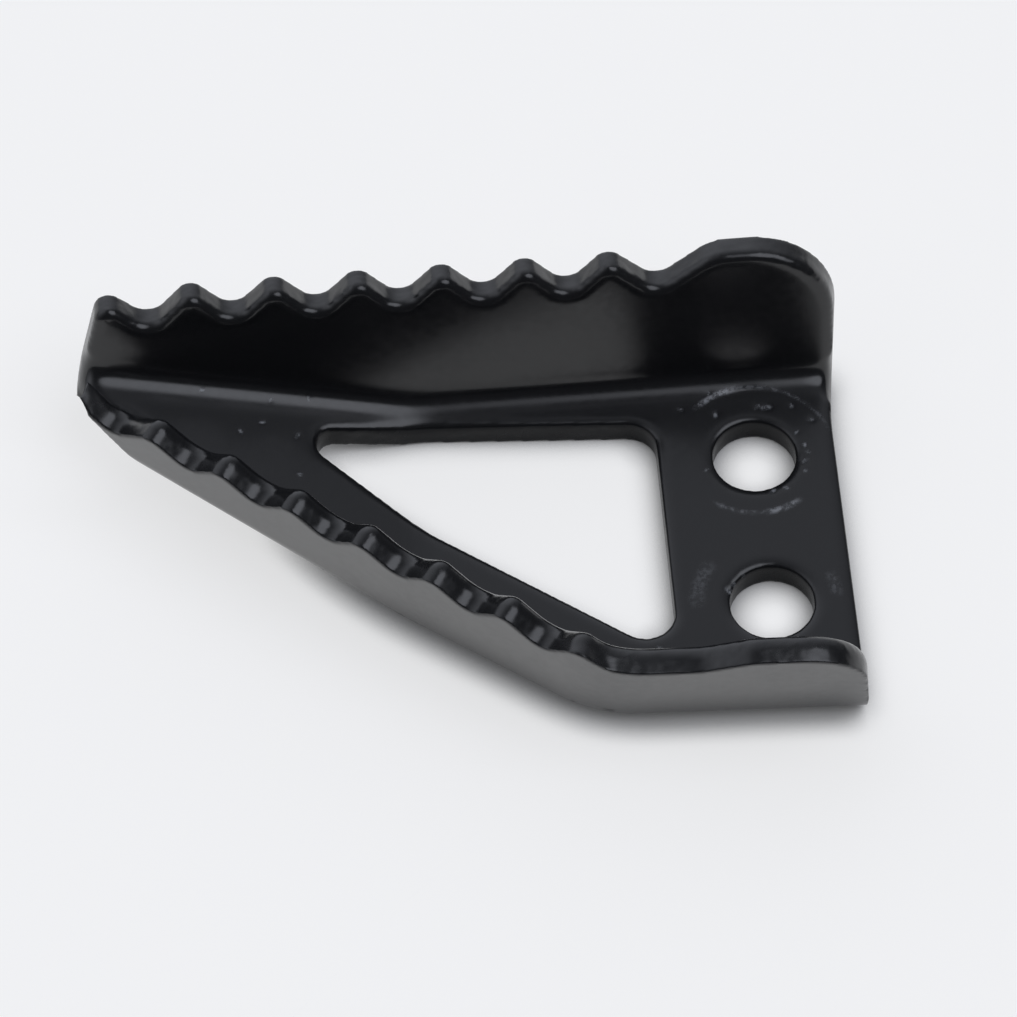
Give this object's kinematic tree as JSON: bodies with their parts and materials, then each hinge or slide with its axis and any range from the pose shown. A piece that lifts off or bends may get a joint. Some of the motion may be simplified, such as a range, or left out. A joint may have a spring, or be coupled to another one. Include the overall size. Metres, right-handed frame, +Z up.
{
  "type": "toothed step plate for a foot lever",
  "caption": "Pressed sheet-steel step plate: tapering U-channel with a three-cornered window, toothed upturned rims and two screw holes.",
  "frame": {"origin": "midway between the axes of the two screw holes, on the flat underside of the web", "axes": "+X from the narrow tip towards the square screwed end, +Y from the near hole to the far hole and the straight toothed flange, +Z up, the way the toothed rims point"},
  "size_m": [0.0612, 0.039, 0.0154],
  "materials": {
    "black_coating": "semi-gloss black coating over pressed steel, lightly scuffed round the holes"
  },
  "bodies": {
    "root": {"step_plate": "black_coating"}
  },
  "joints": []
}
